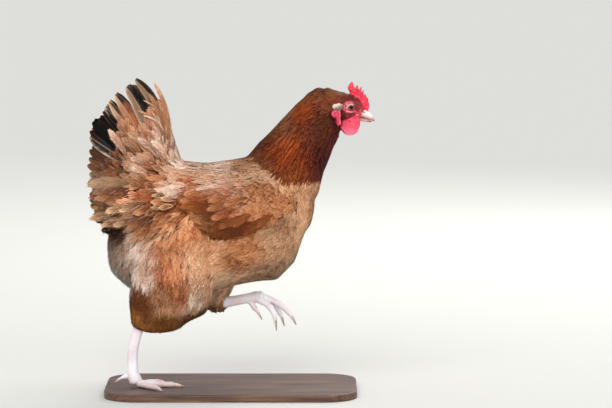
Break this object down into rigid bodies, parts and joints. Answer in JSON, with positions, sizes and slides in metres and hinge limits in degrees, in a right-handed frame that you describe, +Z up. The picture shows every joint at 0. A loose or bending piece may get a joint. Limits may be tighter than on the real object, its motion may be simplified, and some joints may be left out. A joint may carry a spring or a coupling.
{
  "type": "hen model",
  "caption": "Life-size museum model of a brown hen in mid-stride, with a raised fanned tail and a red comb, on a plain flat display base.",
  "frame": {"origin": "bottom centre of the whole model's bounding box, on the underside of the display base", "axes": "+X towards the beak, +Y towards the hen's left side, +Z up"},
  "size_m": [0.3832, 0.19, 0.4217],
  "materials": {
    "hackle": "satin feathers",
    "plumage": "satin feathers",
    "fluff": "soft matt feathers",
    "tail": "satin feathers",
    "comb": "soft pebbled skin",
    "beak": "smooth horn",
    "leg": "scaled skin",
    "claw": "smooth horn",
    "eye": "wet gloss",
    "stand": "stained and oiled"
  },
  "bodies": {
    "root": {"beak_lower": "beak", "beak_upper": "beak", "claw_left_hind": "claw", "claw_left_inner": "claw", "claw_left_middle": "claw", "claw_left_outer": "claw", "claw_right_hind": "claw", "claw_right_inner": "claw", "claw_right_middle": "claw", "claw_right_outer": "claw", "comb": "comb", "earlobe_left": "comb", "earlobe_right": "comb", "eye_left": "eye", "eye_right": "eye", "head": "hackle", "neck": "hackle", "shank_left": "leg", "shank_right": "leg", "stand_base": "stand", "tail": "fluff", "tail_fan_left": "tail", "tail_fan_right": "tail", "thigh_left": "fluff", "thigh_right": "fluff", "toe_left_hind": "leg", "toe_left_inner": "leg", "toe_left_middle": "leg", "toe_left_outer": "leg", "toe_right_hind": "leg", "toe_right_inner": "leg", "toe_right_middle": "leg", "toe_right_outer": "leg", "trunk": "plumage", "wattle_left": "comb", "wattle_right": "comb", "wing_left": "plumage", "wing_right": "plumage"}
  },
  "joints": []
}
